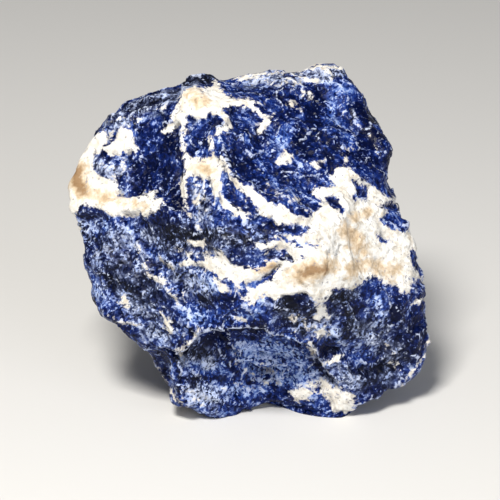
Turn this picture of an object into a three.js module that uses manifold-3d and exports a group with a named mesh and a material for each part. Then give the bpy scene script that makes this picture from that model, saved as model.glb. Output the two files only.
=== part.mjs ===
// Rough sodalite: one broken lump of blue rock, about 60 mm across its broad face.
//
// A lump of mined rock gets its shape from breaks. Each break is a nearly flat face, and a few
// are shallow dishes where a flake sprang off. So the stone is built as it was made: a block is
// taken, each break cuts a piece off it, and the dishes are scooped out last.
//
// Millimetres, +Z up. The origin is on the surface that the stone rests on, under its middle.
// The stone's broad face looks along -Y and leans back from upright by LEAN.
import * as THREE from "three";
import { mergeVertices } from "three/addons/utils/BufferGeometryUtils.js";
import Module from "manifold-3d";

// Driving dimensions
const LEAN = 25; // degrees that the broad face leans back
const HEART = 26; // height of the stone's middle above the surface it rests on
const BLOCK = 90; // side of the block that the breaks cut down, larger than the stone
const BALL_DETAIL = 20; // how finely a scooping ball is faceted
const WELD = 0.0001; // corners closer than this are one corner

// Breaks are placed in the broad face's own axes, from the stone's middle:
// around is the angle on the face, 0 to the right and 90 up it;
// front is the angle off the face, 90 straight out of it and -90 straight into its back;
// reach is the distance from the middle to the break.
const OUTLINE_BREAKS = [
  { name: "right flank", around: 8, front: -8, reach: 27.2 },
  { name: "right shoulder", around: 17, front: -4, reach: 25.2 },
  { name: "right crown edge", around: 27, front: -8, reach: 26.7 },
  { name: "crown right", around: 99, front: -22, reach: 26.4 },
  { name: "crown left", around: 106, front: -14, reach: 27.2 },
  { name: "upper left edge", around: 148, front: -8, reach: 29.6 },
  { name: "left tip", around: 172, front: -10, reach: 30.1 },
  { name: "left flank", around: 195, front: -10, reach: 25.0 },
  { name: "left heel", around: 213, front: -12, reach: 24.0 },
  { name: "lower left edge", around: 228, front: -8, reach: 26.1 },
  { name: "lower right heel", around: 300, front: -6, reach: 32.2 },
  { name: "lower right edge", around: 320, front: -8, reach: 34.2 },
  { name: "right spur", around: 336, front: -10, reach: 33.6 },
];

const FACE_BREAKS = [
  { name: "upper left face", around: 148, front: 50, reach: 20.0 },
  { name: "lower left face", around: 196, front: 51, reach: 18.0 },
  { name: "middle of the face", around: 60, front: 84, reach: 19.4 },
  { name: "upper right face", around: 54, front: 50, reach: 19.1 },
  { name: "right face", around: 9, front: 43, reach: 20.6 },
  { name: "lower right face", around: 326, front: 49, reach: 21.6 },
  { name: "lower middle face", around: 262, front: 70, reach: 18.8 },
  { name: "foot of the face", around: 271, front: 50, reach: 18.8 },
  { name: "crown", around: 92, front: 24, reach: 25.6 },
];

const BACK_BREAKS = [
  { name: "back", around: 80, front: -80, reach: 20.0 },
  { name: "upper back", around: 86, front: -50, reach: 22.6 },
  { name: "upper right back", around: 30, front: -42, reach: 24.0 },
  { name: "upper left back", around: 146, front: -42, reach: 24.0 },
  { name: "right back", around: 352, front: -44, reach: 25.4 },
  { name: "left back", around: 200, front: -46, reach: 22.5 },
  { name: "lower back", around: 266, front: -60, reach: 25.6 },
  { name: "under right", around: 304, front: -36, reach: 28.6 },
  { name: "under left", around: 232, front: -36, reach: 26.4 },
];

// A flake scar is a shallow dish, scooped by a ball. at is its deepest point, in the face's axes
// (right, up the face, out of the face); around and front say which way the dish opens.
const FLAKE_SCARS = [
  { name: "foot scar", at: [2.2, -20.4, 3.1], around: 270, front: 48, ball: 34 },
  { name: "heel notch", at: [2.6, -26.2, -1.0], around: 268, front: 20, ball: 18 },
  { name: "crown saddle", at: [-2.6, 26.6, 2], around: 92, front: 10, ball: 16 },
  { name: "shoulder notch", at: [22.9, 8.4, 1], around: 12, front: 6, ball: 15 },
  { name: "left heel notch", at: [-15.4, -19.6, 0], around: 216, front: 10, ball: 15 },
  { name: "back scar", at: [6, 4, -18.0], around: 60, front: -74, ball: 34 },
  { name: "left back scar", at: [-16, 2, -12.6], around: 184, front: -42, ball: 22 },
];

const wasm = await Module();
wasm.setup();

// A three.js geometry as a manifold-3d solid.
function solidOf(geometry) {
  const bare = geometry.index ? geometry.toNonIndexed() : geometry.clone();
  const welded = mergeVertices(
    new THREE.BufferGeometry().setAttribute("position", bare.getAttribute("position")),
    WELD,
  );
  return new wasm.Manifold(
    new wasm.Mesh({
      numProp: 3,
      vertProperties: welded.attributes.position.array,
      triVerts: new Uint32Array(welded.index.array),
    }),
  );
}

function geometryOf(solid) {
  const mesh = solid.getMesh();
  const corners = new Float32Array(mesh.numVert * 3);
  for (let i = 0; i < mesh.numVert; i++) {
    corners.set(mesh.vertProperties.subarray(i * mesh.numProp, i * mesh.numProp + 3), i * 3);
  }
  const geometry = new THREE.BufferGeometry();
  geometry.setAttribute("position", new THREE.BufferAttribute(corners, 3));
  geometry.setIndex(new THREE.BufferAttribute(mesh.triVerts, 1));
  return geometry;
}

const lean = new THREE.Matrix4().makeRotationX(THREE.MathUtils.degToRad(90 - LEAN));
const heart = new THREE.Vector3(0, 0, HEART);

// The direction of a break, from the face's own axes (right, up the face, out of the face).
function direction({ around, front }) {
  const a = THREE.MathUtils.degToRad(around);
  const f = THREE.MathUtils.degToRad(front);
  const onFace = new THREE.Vector3(Math.cos(a) * Math.cos(f), Math.sin(a) * Math.cos(f), Math.sin(f));
  return onFace.applyMatrix4(lean);
}

// All that lies beyond a break, as a box to cut away.
function beyond(outward, point) {
  const box = new THREE.BoxGeometry(BLOCK * 2, BLOCK * 2, BLOCK);
  box.translate(0, 0, BLOCK / 2);
  const turn = new THREE.Quaternion().setFromUnitVectors(new THREE.Vector3(0, 0, 1), outward);
  box.applyQuaternion(turn);
  box.translate(point.x, point.y, point.z);
  return solidOf(box);
}

// The ball that scoops a flake scar.
function ball({ at, around, front, ball: radius }) {
  const deepest = new THREE.Vector3(...at).applyMatrix4(lean).add(heart);
  const centre = deepest.addScaledVector(direction({ around, front }), radius);
  const sphere = new THREE.IcosahedronGeometry(radius, BALL_DETAIL);
  sphere.translate(centre.x, centre.y, centre.z);
  return solidOf(sphere);
}

const block = new THREE.BoxGeometry(BLOCK, BLOCK, BLOCK);
block.translate(0, 0, BLOCK / 2);
let stone = solidOf(block);
for (const cut of [...OUTLINE_BREAKS, ...FACE_BREAKS, ...BACK_BREAKS]) {
  const outward = direction(cut);
  stone = stone.subtract(beyond(outward, heart.clone().addScaledVector(outward, cut.reach)));
}

for (const scar of FLAKE_SCARS) {
  stone = stone.subtract(ball(scar));
}

const sodalite = new THREE.MeshStandardMaterial({ color: 0x2b3b7a, roughness: 0.6, metalness: 0 });
const mesh = new THREE.Mesh(geometryOf(stone), sodalite);
mesh.name = "stone";

const group = new THREE.Group();
group.add(mesh);
export default group;
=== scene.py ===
# %% [markdown]
# # A lump of rough sodalite
#
# Sodalite is a royal blue mineral that grows as a mass of small grains, with white calcite in
# its cracks. A rough lump is left as it broke out of the rock, so all of its look is in three
# things: how it broke, where its veins run, and what each mineral does with light. It is one
# piece, so this lesson makes one mesh and one material, and gives each of those things its steps.

# %% Load the frame
import itertools
import math

import bpy
import numpy as np
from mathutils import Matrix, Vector


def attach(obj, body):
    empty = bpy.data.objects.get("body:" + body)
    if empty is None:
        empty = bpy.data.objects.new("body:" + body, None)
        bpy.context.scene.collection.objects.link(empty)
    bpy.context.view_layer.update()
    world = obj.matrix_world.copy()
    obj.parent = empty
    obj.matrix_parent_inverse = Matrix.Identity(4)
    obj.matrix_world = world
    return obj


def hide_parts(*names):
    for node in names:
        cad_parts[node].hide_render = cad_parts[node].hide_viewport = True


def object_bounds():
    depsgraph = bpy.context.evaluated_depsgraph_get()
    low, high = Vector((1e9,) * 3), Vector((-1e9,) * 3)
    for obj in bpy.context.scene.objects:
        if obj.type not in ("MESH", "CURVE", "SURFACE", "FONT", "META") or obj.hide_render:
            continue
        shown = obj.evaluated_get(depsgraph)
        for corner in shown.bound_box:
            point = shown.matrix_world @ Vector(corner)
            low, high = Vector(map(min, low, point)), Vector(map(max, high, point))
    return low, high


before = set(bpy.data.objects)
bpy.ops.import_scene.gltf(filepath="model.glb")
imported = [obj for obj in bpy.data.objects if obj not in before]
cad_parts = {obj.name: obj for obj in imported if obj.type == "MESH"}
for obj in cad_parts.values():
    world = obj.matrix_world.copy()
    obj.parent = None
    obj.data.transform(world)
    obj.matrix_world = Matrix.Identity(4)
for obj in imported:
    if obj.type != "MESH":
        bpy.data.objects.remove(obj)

CAD_BOX = [list(corner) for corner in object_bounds()]
print("measured lump, mm:", [round(1000 * (hi - lo), 1) for lo, hi in zip(*CAD_BOX)])

# %% [markdown]
# ## An even skin
#
# The measured lump has a few large flat breaks. Chips and ripples need many small faces to bend,
# so a copy gets a new skin of small, even faces. Blender's Remesh modifier does that: it fills
# the shape with little cubes and wraps them, and the spacing decides the finest chip that the
# mesh can hold. At 0.36 mm a lump this size takes about 190,000 triangles.

# %% Copy the lump and skin it evenly
MM = 0.001  # Blender works in metres and this lesson in millimetres
SKIN_SPACING = 0.36


def evened(node, name, spacing):
    """A copy of a measured node, with mesh points at an even spacing all over."""
    lump = bpy.data.objects.new(name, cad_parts[node].data.copy())
    bpy.context.collection.objects.link(lump)
    skin = lump.modifiers.new("even skin", "REMESH")
    skin.mode = "VOXEL"
    skin.voxel_size = spacing * MM
    made = lump.evaluated_get(bpy.context.evaluated_depsgraph_get())
    mesh = bpy.data.meshes.new_from_object(made)
    lump.modifiers.clear()
    lump.data = mesh
    return lump


stone = evened("stone", "sodalite_lump", SKIN_SPACING)
skin = stone.data
skin.name = "sodalite_lump"
COUNT = len(skin.vertices)
print("skin points:", COUNT, "triangles:", sum(len(face.vertices) - 2 for face in skin.polygons))

# %% Read the skin's points and its neighbours
flat = np.empty(COUNT * 3)
skin.vertices.foreach_get("co", flat)
points = flat.reshape(-1, 3) / MM
ends = np.empty(len(skin.edges) * 2, dtype=int)
skin.edges.foreach_get("vertices", ends)
ONE_END, OTHER_END = ends.reshape(-1, 2).T
NEIGHBOURS = np.bincount(ends, minlength=COUNT)


def blurred(values, rounds):
    """Values on the skin, each averaged with its neighbours' a number of times."""
    columns = values.reshape(COUNT, -1).copy()
    for _ in range(rounds):
        for k in range(columns.shape[1]):
            near = np.bincount(ONE_END, columns[OTHER_END, k], COUNT)
            near += np.bincount(OTHER_END, columns[ONE_END, k], COUNT)
            columns[:, k] = (columns[:, k] + near) / (1 + NEIGHBOURS)
    return columns.reshape(values.shape)


def outward(at):
    """Unit vectors that point out of the skin when its points are at these places, in mm."""
    skin.vertices.foreach_set("co", (at * MM).ravel())
    skin.update()
    out = np.empty(COUNT * 3)
    skin.vertex_normals.foreach_get("vector", out)
    return out.reshape(-1, 3)


def unit(vectors):
    return vectors / np.maximum(np.linalg.norm(vectors, axis=1), 1e-9)[:, None]


# %% [markdown]
# ## Where the eye is
#
# The broad face leans back and is seen from a little above. Its marks are placed as an eye in
# front of the stone sees them: so far to the right of the stone's middle, and so far above it.
# One function turns points on the skin into those two numbers, and the camera at the end of the
# lesson stands at the same eye, so a mark lands just where it was put.

# %% The eye and what it sees
EYE_DROP = math.radians(25)  # the eye looks down by this much
MIDDLE = np.array([0.0, 0.0, 26.0])
EYE_DISTANCE = 463.0
EYE_LEFT, EYE_DOWN = 13.33, 12.67  # mm: the eye stands to the left of the middle, and lower
ACROSS = np.array([1.0, 0.0, 0.0])
UP_FACE = np.array([0.0, math.sin(EYE_DROP), math.cos(EYE_DROP)])
TO_EYE = np.array([0.0, -math.cos(EYE_DROP), math.sin(EYE_DROP)])
EYE = MIDDLE - EYE_LEFT * ACROSS - EYE_DOWN * UP_FACE + EYE_DISTANCE * TO_EYE


def sighted(at):
    """Where the eye sees these points: mm to the right of the stone's middle, and mm above it."""
    away = at - EYE
    larger = EYE_DISTANCE / (-away @ TO_EYE)  # what is nearer looks larger
    off_line = np.stack([away @ ACROSS, away @ UP_FACE], axis=1) * larger[:, None]
    return off_line - [EYE_LEFT, EYE_DOWN]


def ramp(values, low, high):
    """0 below low, 1 above high, and a smooth rise between them."""
    t = np.clip((values - low) / (high - low), 0, 1)
    return t * t * (3 - 2 * t)


BROAD_BLUR = 30  # rounds of averaging, so that only the large breaks count
TURNED_TO_EYE = (-0.12, 0.08)  # skin comes into sight where it turns to the eye by this much
NEAR_EYE = (5.0, 8.0)  # and is in sight in any case this many mm in front of the middle
facing = unit(blurred(outward(points), BROAD_BLUR)) @ TO_EYE
seen = np.maximum(ramp(facing, *TURNED_TO_EYE), ramp((points - MIDDLE) @ TO_EYE, *NEAR_EYE))
print("share of the skin that the eye sees:", round(float(seen.mean()), 2))

# %% [markdown]
# ## How rock breaks
#
# A break in rock is a crowd of flake scars: shallow dishes, each sprung off by a blow of its own,
# that meet at sharp ridges. Smooth noise would look like clay. Here each scar is a bowl round a
# point of a scattered grid, with a tilt of its own, and the lowest bowl wins, which is what
# leaves sharp ridges between them. On them lie small flat chips: there the nearest point of the
# grid wins, so that each chip ends in a little cliff. The same kind of grid, blended smoothly,
# gives plain noise.

# %% Helpers for broken surfaces
TABLE_SIZE = 4096
SCATTER = np.array([73856093, 19349663, 83492791])  # big odd numbers, so that near cells differ
DISH, DISH_TILT, DISH_STEP = 0.50, 0.90, 0.15  # curve, tilt and step between scars, as slopes
CHIP_TILT, CHIP_STEP = 0.80, 0.10  # tilt and step of the flat chips, as slopes


def drawn_for(cell, table):
    """The row of a table of random numbers that belongs to each cell of a grid."""
    x, y, z = (cell * SCATTER).T
    return table[(x ^ y ^ z) % TABLE_SIZE]


def flake_scars(at, size, seed):
    """Heights in mm of shallow dishes, about size mm wide, that meet at sharp ridges."""
    table = np.random.default_rng(seed).random((TABLE_SIZE, 7))
    lowest = np.full(len(at), np.inf)
    for shift in itertools.product((-1, 0, 1), repeat=3):
        cell = np.floor(at / size).astype(np.int64) + shift
        draw = drawn_for(cell, table)
        gap = at / size - cell - draw[:, :3]
        tilt = DISH_TILT * (gap * (draw[:, 4:] - 0.5)).sum(axis=1)
        lowest = np.minimum(lowest, DISH * (gap**2).sum(axis=1) + tilt + DISH_STEP * draw[:, 3])
    return size * (lowest - lowest.mean())


def chips(at, size, seed):
    """Heights in mm of flat chips, about size mm wide, each at a tilt and a level of its own."""
    table = np.random.default_rng(seed).random((TABLE_SIZE, 7))
    nearest, height = np.full(len(at), np.inf), np.zeros(len(at))
    for shift in itertools.product((-1, 0, 1), repeat=3):
        cell = np.floor(at / size).astype(np.int64) + shift
        draw = drawn_for(cell, table)
        gap = at / size - cell - draw[:, :3]
        far = (gap**2).sum(axis=1)
        level = CHIP_STEP * (draw[:, 3] - 0.5) + CHIP_TILT * (gap * (draw[:, 4:] - 0.5)).sum(axis=1)
        height = np.where(far < nearest, level, height)
        nearest = np.minimum(nearest, far)
    return size * height


def roughness(at, size, seed, octaves=4):
    """Fractal noise, about -1 to 1, whose largest lumps are size mm."""
    table = np.random.default_rng(seed).uniform(-1, 1, TABLE_SIZE)
    total = np.zeros(len(at))
    for octave in range(octaves):
        place = at / size * 2**octave + 7.3 * octave
        cell = np.floor(place).astype(np.int64)
        t = place - cell
        t = t * t * (3 - 2 * t)
        for shift in itertools.product((0, 1), repeat=3):
            share = np.where(shift, t, 1 - t).prod(axis=1)
            total += 0.5**octave * share * drawn_for(cell + shift, table)
    return total


# %% [markdown]
# ## From flat cuts to a worn lump
#
# The measured lump is all flat cuts and straight edges. A real one has been knocked about, so its
# corners are rounded first, and then large, gentle noise lets its breaks wander. The eye knows a
# stone by its outline, so that is pushed to where it belongs at some forty places round it. All
# of this makes the lump a little smaller or larger, and it is stretched back to its measured box.

# %% Round the corners, then let the breaks wander
CORNER_ROUNDS = 12
WANDER = [(13.0, 0.7, 1), (4.5, 0.25, 2)]  # size and reach of each wander in mm, and its seed
points = blurred(points, CORNER_ROUNDS)
for size, reach, seed in WANDER:
    drift = np.stack([roughness(points, size, 10 * seed + k, 2) for k in range(3)], axis=1)
    points = points + reach * drift

# %% Push the outline to where it belongs
# Each: mm to the right, mm up, and how far the stone is pushed there to the right and up. A push
# of 0 holds its place against the pushes next to it.
NUDGES = [
    (-29.2, 7.6, -3, 0), (-27.5, 1.8, -2.8, 0.1), (-25.4, -3.4, -2.8, 0),
    (-24.4, -8.4, -5, -0.6), (-22.4, -12.2, -3, -0.4), (-18.2, -16.2, 0, 0),
    (-15.2, -19.8, 0.9, 0.4), (-13.2, -23.2, -1.8, -1.2), (-10.4, -26, 2, 0.8),
    (-7.4, -28.6, 0, -2.2), (-4, -28, 0, 0), (0.4, -26.4, 0, 2.4),
    (4.4, -26.6, 0, 0.6), (7.4, -27.4, 0, -1.4), (11.2, -28.2, 0, -4),
    (16, -27.4, 0.4, -1.2), (20.6, -26.4, 0.2, 0.4), (24.6, -22.8, 0.7, 0.2),
    (29.4, -17.6, 1.2, -0.4), (31, -15.4, 3, 0), (29.6, -12.4, 0.9, 0.3),
    (28.8, -8.6, 1.4, 0), (28.4, -4, 1.2, 0), (27.8, -0.4, 5, 0.6),
    (26, 2.6, 0.6, 0), (25.2, 6.4, 4.6, 1.3), (23.8, 9.4, -0.4, 0),
    (22.8, 12.4, 1.6, 0), (21.6, 18.6, 2.8, 0.9), (18.4, 24.4, 0.9, 0.3),
    (16.4, 28.2, 2.9, 2), (13.4, 29.6, 0.2, 1.8), (4.6, 28.6, 0, 0.8),
    (0.6, 28, 0, -0.3), (-4.2, 27.2, 0, 0.7), (-9.6, 27.4, -0.3, 2),
    (-12.6, 26, -0.3, 2.3), (-15.8, 25.6, 0.1, 0.2), (-20.4, 23, -1.2, 1.8),
    (-23.2, 19.6, -2.2, 1.6), (-26, 15.8, -3, 1.9), (-28.4, 11.8, -2.4, 0.9),
]
NUDGE_REACH = 4.0  # mm over which a push dies away
sight = sighted(points)
near = [np.exp(-((sight - nudge[:2]) ** 2).sum(axis=1) / NUDGE_REACH**2) for nudge in NUDGES]
crowd = np.maximum(1, np.sum(near, axis=0))
push = sum(weight[:, None] * nudge[2:] for weight, nudge in zip(near, NUDGES)) / crowd[:, None]
points = points + push @ np.stack([ACROSS, UP_FACE])
print("the outline moved by up to", round(float(np.abs(push).max()), 1), "mm")

# %% Fill the measured box, with room left for chips
LOW, HIGH = np.array(CAD_BOX) / MM
CHIP_ROOM = 0.8  # mm
OUT_ROUNDS = 4  # rounds that even out which way is out, so that relief doesn't fold over itself


def filled(at, low, high):
    """The points cut off flat at the ground, and stretched to fill a box."""
    at = np.maximum(at, [-np.inf, -np.inf, LOW[2]])
    stretch = (high - low) / (at.max(axis=0) - at.min(axis=0))
    print("stretched by", stretch.round(3))
    return low + (at - at.min(axis=0)) * stretch


points = filled(points, LOW + [CHIP_ROOM, CHIP_ROOM, 0], HIGH - CHIP_ROOM)
out = unit(blurred(outward(points), OUT_ROUNDS))

# %% [markdown]
# ## Marks that were placed one by one
#
# Noise can't put a ledge or a vein where this stone has one. Those are drawn: a patch is an
# outline and a stroke is a path with a half-width at each point, both as the eye sees them, in
# mm. Two functions turn them into distances, positive inside, and everything else, relief and
# colour alike, is made from those distances.

# %% Distances to patches and strokes


def in_patch(at, outline):
    """Distance from each point to an outline in mm, positive inside it."""
    corners = [np.array(corner, dtype=float) for corner in outline]
    nearest, inside = np.full(len(at), np.inf), np.zeros(len(at), dtype=bool)
    for a, b in zip(corners, corners[1:] + corners[:1]):
        side, gap = b - a, at - a
        t = np.clip(gap @ side / (side @ side), 0, 1)
        nearest = np.minimum(nearest, np.linalg.norm(gap - t[:, None] * side, axis=1))
        if a[1] != b[1]:
            left_of = gap[:, 0] < side[0] * gap[:, 1] / side[1]
            inside ^= ((a[1] > at[:, 1]) != (b[1] > at[:, 1])) & left_of
    return np.where(inside, nearest, -nearest)


def in_stroke(at, path):
    """How deep each point is inside a stroke of (right, up, half-width), in mm."""
    deepest = np.full(len(at), -np.inf)
    for (ax, ay, a_half), (bx, by, b_half) in zip(path, path[1:]):
        side, gap = np.array([bx - ax, by - ay]), at - [ax, ay]
        t = np.clip(gap @ side / (side @ side), 0, 1)
        off = np.linalg.norm(gap - t[:, None] * side, axis=1)
        deepest = np.maximum(deepest, a_half + t * (b_half - a_half) - off)
    return deepest


def soft_strokes(at, strokes):
    """0 to 1 over a set of soft strokes: 1 along the middle of each, 0 a half-width outside it."""
    cover = np.zeros(len(at))
    for path in strokes:
        widest = max(half for _, _, half in path)
        cover = np.maximum(cover, ramp(in_stroke(at, path), -widest, widest))
    return cover


# %% [markdown]
# ## The ledge, the steps and the ripples
#
# A flake came off the foot of the face and left a dish under a sharp ledge, and the shock left
# ripples in it. Further up, the break jumps from level to level along the veins. Each of those is
# a placed mark that pushes the skin in or out along the way it faces. The ledge also hangs over a
# little: its lip is drawn down across the dish, and the dish runs in under it.

# %% Shake the drawing
# The drawn edges are smoother than rock's, which are ragged, so the drawing is shaken a little
# first.
SHAKE = [(2.4, 0.4, 41), (1.0, 0.22, 43)]  # size of a shake in mm, its reach and its seed


def shaken(at, sight):
    """The sighted places, shaken as the ragged edge of a break or a vein is."""
    for size, reach, seed in SHAKE:
        push = [roughness(at, size, seed + k, 2) for k in range(2)]
        sight = sight + reach * np.stack(push, axis=1)
    return sight


# %% The dish at the foot, and its ledge
LEDGE_DISH = [
    (-20.5, -16), (-16.6, -16.9), (-14.4, -16.7), (-11.7, -17.6), (-9.8, -15.4), (-8.2, -13.8),
    (-6.6, -12.9), (-3, -13), (0, -12.7), (2.2, -12.5), (5.4, -14.4), (8.4, -15.4),
    (10, -16.8), (11.6, -19.2), (13.6, -23), (14, -34), (-20, -34), (-26, -22),
]
LEDGE_DROP, LEDGE_WIDTH, LEDGE_OVERHANG = 2.8, 0.5, 1.0
# The dish is deepest under the ledge. It runs out to nothing at the foot and at its left end, and
# to less than half at its right end. Each: the mm over which it changes.
DISH_FOOT, DISH_LEFT, DISH_RIGHT, RIGHT_LOSS = (-26.0, -17.0), (-17.0, -10.0), (0.0, 7.0), 0.6
# Mm into the dish where a strip along the ledge starts, is full, starts to fade and is gone.
LIP, UNDER_LIP = (-1.6, -0.1, 0.0, 0.3), (0.2, 0.6, 0.8, 2.4)


def strip(depth, start, full, fade, gone):
    """1 between the middle two depths, and a smooth rise and fall on either side."""
    return ramp(depth, start, full) * (1 - ramp(depth, fade, gone))


sight = sighted(points)
ragged = shaken(points, sight)
right, up = sight.T
run_out = ramp(up, *DISH_FOOT) * ramp(right, *DISH_LEFT)
run_out *= 1 - RIGHT_LOSS * ramp(right, *DISH_RIGHT)
in_dish = in_patch(ragged, LEDGE_DISH)
relief = -LEDGE_DROP * run_out * ramp(in_dish, 0, LEDGE_WIDTH)
overhang = LEDGE_OVERHANG * run_out * (strip(in_dish, *UNDER_LIP) - strip(in_dish, *LIP))
print("the dish is up to", round(float(-relief.min()), 1), "mm deep")

# %% Steps from one break to the next
# Each step is a patch that lies lower than what is round it: depth, width of its edge, outline.
STEPS = [
    (0.8, 0.7, [(-10.6, 14.8), (-10.2, 10), (-10.3, 5), (-13.4, 6.6), (-14.6, 8.8),
                (-18, 7.8), (-21, 7.6), (-21.2, 10.6), (-19.4, 14), (-18, 17.6),
                (-15, 20.8), (-12.4, 20.4), (-13.4, 18.6), (-10.6, 19.4)]),
    (0.7, 0.6, [(-9.4, 19.6), (-5.2, 20.4), (-5.9, 15.4), (-9.6, 14.9)]),
    (0.9, 0.9, [(-4.4, 17.6), (-1.6, 21.8), (1.2, 21.6), (3.4, 15.4), (5.6, 12.6), (6.4, 8.6),
                (4.6, 7.2), (0.8, 9.2), (-2.2, 12.4)]),
    (0.6, 0.8, [(-3.6, 3.9), (-1.4, 5.2), (1.2, 4.2), (3.4, 3.8), (4.6, 2.2), (8.8, 1.6),
                (3, 0.4), (-0.8, 0.2), (-3.8, 1.4)]),
    (0.9, 0.6, [(-24, 20.9), (-17.4, 25.4), (-11, 27), (-10.2, 25), (-12.2, 22.9),
                (-15.4, 21.8), (-18.4, 21.1), (-21.4, 20.8)]),
    (0.7, 0.8, [(5, -8.6), (9.2, -8.6), (11.2, -11), (13.4, -10), (14, -7.6),
                (17, -7.8), (20, -6.2), (26, -8.4), (28, -14), (20, -20),
                (8, -15)]),
    (0.5, 0.5, [(16.8, 9.9), (19.7, 9.1), (19.6, 6.8), (17, 7.6)]),
    (0.8, 0.6, [(22.4, 5.8), (24.2, 6.8), (26, 5), (24.4, 2), (21.9, 3.7)]),
    (0.8, 0.6, [(26, -2), (27.4, -1), (29.6, -4), (28.2, -5.4), (26.8, -4)]),
    (0.9, 0.6, [(11, -17), (12.6, -15.4), (14.8, -16.4), (14.6, -18.4), (12.6, -19.4)]),
]
for depth, edge, outline in STEPS:
    relief -= depth * ramp(in_patch(ragged, outline), -edge / 2, edge / 2)

# %% Ridges and grooves
# Each ridge or, with a minus, groove: height, then its path with half-widths.
RIDGES = [
    (0.4, [(-4.4, 14.4, 0.7), (-2.2, 10.9, 0.8), (0.8, 7.8, 1), (4.6, 5, 1.2), (8.6, 4, 0.9)]),
    (0.4, [(-4.5, 8, 0.5), (-1.6, 5.4, 0.6), (1.6, 3.6, 0.5)]),
    (0.5, [(-10.1, 20.3, 0.7), (-10.2, 15, 0.7), (-10.2, 5.4, 0.6)]),
    (0.4, [(-29, 6, 0.8), (-23, 5.6, 0.9), (-17, 5.2, 0.8), (-13.6, 6.4, 0.5)]),
    (0.5, [(-13.4, 18.4, 0.5), (-10.6, 20.2, 0.6)]),
    (0.5, [(-2.8, 19.3, 0.5), (-5.5, 18, 0.5), (-5.8, 15.4, 0.5)]),
    (0.25, [(12, 5, 0.7), (17, 3.2, 0.6), (21, 1.2, 0.6), (24.6, -0.6, 0.5)]),
    (-0.5, [(16.4, 1.8, 0.6), (17, -1.8, 0.7), (18.8, -5.2, 0.7)]),
    (0.5, [(-11.2, -17.2, 0.6), (-9.6, -15.2, 0.6), (-8, -13.5, 0.6), (-6.6, -12.6, 0.6)]),
    (0.5, [(3, -13.2, 0.6), (8.6, -15, 0.7), (11.8, -19.2, 0.6), (14.4, -23.2, 0.5)]),
    (-0.8, [(-3.9, -15.2, 0.4), (-3.4, -18, 0.5), (-2, -20.6, 0.6), (0.4, -21.6, 0.5),
            (3.4, -21.8, 0.3)]),
    (0.4, [(-2.6, -16.4, 0.3), (-2.2, -19, 0.4), (-0.6, -20.6, 0.4), (2.4, -20.9, 0.4),
           (5.6, -20.4, 0.3)]),
    (0.45, [(-23, -10.8, 0.5), (-21.4, -12.1, 0.5), (-18.4, -12.8, 0.5)]),
    (-0.4, [(3.2, 2.3, 0.4), (6.5, 2.5, 0.4), (9.6, 1.9, 0.3)]),
    (-0.35, [(2.6, 0.3, 0.4), (7, 0.3, 0.4), (11.6, -0.3, 0.3)]),
    (-0.55, [(3, -2.2, 0.8), (5.2, -1.4, 0.9), (7.4, -2.6, 0.7)]),
    (-0.45, [(0.1, -7, 0.4), (2.6, -5.8, 0.4), (4.9, -4.2, 0.3)]),
    (-0.5, [(21.2, 1.1, 0.4), (22.9, 0, 0.5)]),
    (0.5, [(14.6, 24.4, 0.5), (16.3, 20.9, 0.5), (19, 18.8, 0.5), (20.8, 16.9, 0.5),
           (22, 14.6, 0.4)]),
    (0.5, [(-18, 0, 0.5), (-16.6, -4.2, 0.6), (-13.4, -7, 0.7), (-10.8, -9, 0.7)]),
    (-0.4, [(-15.4, -2.4, 0.5), (-12.8, -4.4, 0.4)]),
    (-0.5, [(-22.9, 18.2, 0.4), (-22.3, 16.2, 0.4), (-21.2, 17.9, 0.3)]),
    (0.4, [(-22, 20.2, 0.5), (-18.4, 20.6, 0.5), (-15.4, 21.2, 0.5), (-12.4, 22.3, 0.4)]),
    (-0.5, [(18, -20.6, 0.5), (21, -20.8, 0.5), (24, -20.4, 0.4)]),
    (-1.1, [(-10.8, -17.7, 0.4), (-9.2, -16, 0.6), (-7.6, -14.4, 0.7), (-6.2, -13.9, 0.7),
            (-3, -14.1, 0.8), (0, -13.8, 0.7), (2.4, -13.6, 0.4)]),
]
RIDGE_FLANK = (-0.6, 0.4)  # mm into a ridge's path where it starts to rise and where it is full
for height, path in RIDGES:
    relief += height * ramp(in_stroke(ragged, path), *RIDGE_FLANK)
print("drawn relief:", round(float(relief.min()), 1), "to", round(float(relief.max()), 1), "mm")

# %% Ripples where flakes sprang off, and striations on the blue block
RIPPLE_FROM = np.array([0.5, -4.0])  # the blow that took the foot flake off landed above it
RIPPLE_LENGTH, RIPPLE_HEIGHT = 1.9, 0.16
RIPPLE_EDGE = (0.8, 3.0)  # mm into the dish where ripples start and where they are full
STRIA_PATCH = STEPS[2][2]
STRIA_ACROSS = np.array([0.86, 0.51])  # the way that crosses the striations
STRIA_LENGTH, STRIA_HEIGHT = 1.8, 0.05
STRIA_EDGE = (-0.5, 0.8)
SWING_SIZE, RIPPLE_SWING, STRIA_SWING = 5.0, 2.6, 4.5  # noise bends both, so none runs straight
swing = roughness(points, SWING_SIZE, seed=71, octaves=3)
from_blow = np.linalg.norm(sight - RIPPLE_FROM, axis=1)
ripples = np.sin(2 * math.pi * from_blow / RIPPLE_LENGTH + RIPPLE_SWING * swing)
relief += RIPPLE_HEIGHT * ripples * ramp(in_dish, *RIPPLE_EDGE)
striae = np.sin(2 * math.pi * (sight @ STRIA_ACROSS) / STRIA_LENGTH + STRIA_SWING * swing)
relief += STRIA_HEIGHT * striae * ramp(in_patch(sight, STRIA_PATCH), *STRIA_EDGE)

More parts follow.
